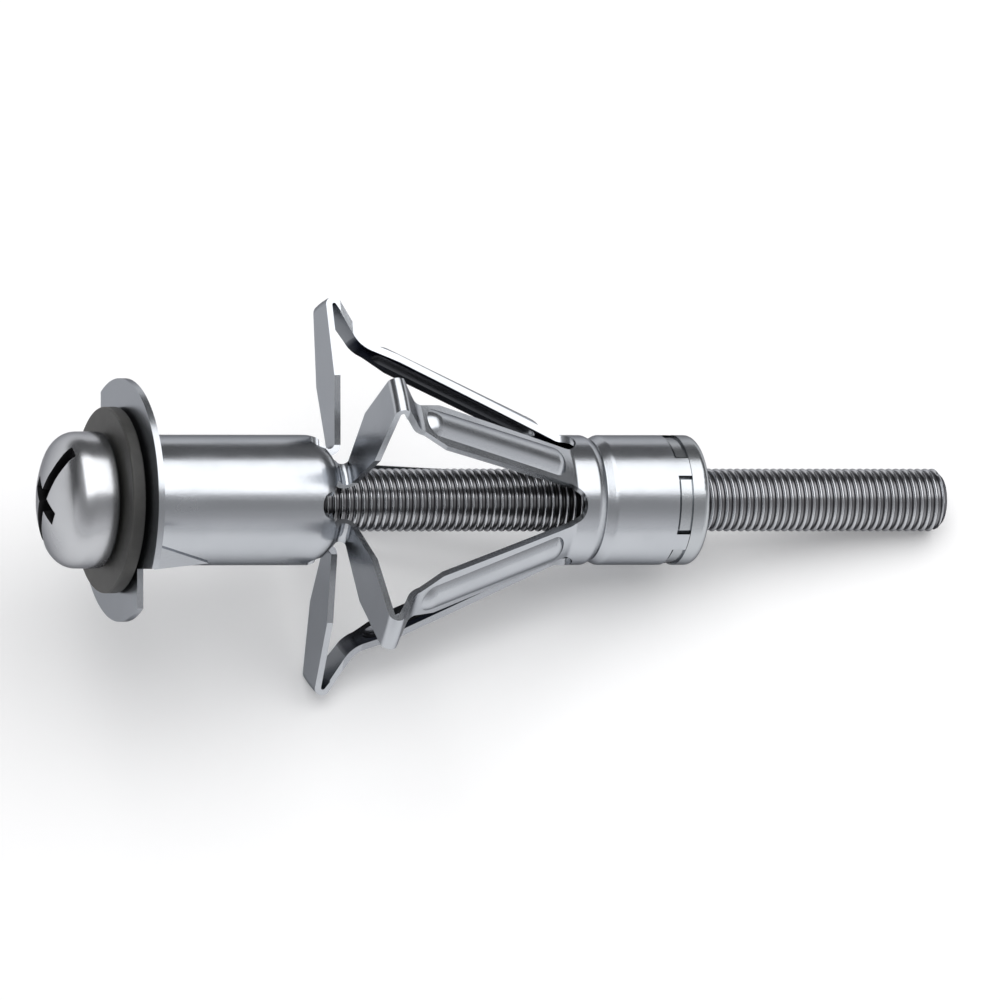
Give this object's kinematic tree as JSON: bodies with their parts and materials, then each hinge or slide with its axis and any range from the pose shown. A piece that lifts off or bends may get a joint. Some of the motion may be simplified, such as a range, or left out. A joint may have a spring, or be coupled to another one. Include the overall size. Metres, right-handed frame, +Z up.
{
  "type": "metal hollow wall anchor",
  "caption": "Metal hollow wall anchor: folded sheet sleeve with a toothed flange and spread legs, a threaded nut in its collar, and a machine screw through it with a ring under its round head.",
  "frame": {"origin": "on the ground under the middle of the part as it lies on two knees and the screw's tip", "axes": "+X from the screw's head towards its tip, +Z up; the anchor's own axis dips 12.96 degrees below +X"},
  "size_m": [0.0726, 0.031, 0.0289],
  "materials": {
    "sleeve_zinc": "bright zinc plate on sheet steel",
    "nut_zinc": "bright zinc plate",
    "screw_zinc": "bright zinc plate",
    "ring_dark": "dark grey, matt"
  },
  "bodies": {
    "anchor": {"sleeve": "sleeve_zinc", "nut": "nut_zinc"},
    "ring": {"washer": "ring_dark"},
    "screw": {"screw": "screw_zinc"}
  },
  "joints": [
    {"name": "screw_advance", "type": "slide", "parent": "anchor", "child": "ring", "axis": [-0.9745, 0, 0.2243], "range_m": [0, 0.0282]},
    {"name": "screw_turn", "type": "hinge", "parent": "ring", "child": "screw", "pos_m": [-0.03002, 0, 0.01745], "axis": [-0.9745, 0, 0.2243], "range_deg": [0, 16925]}
  ],
  "couplings": [
    {"joint": "screw_turn", "follows": "screw_advance", "rad_per_m": 10472}
  ]
}
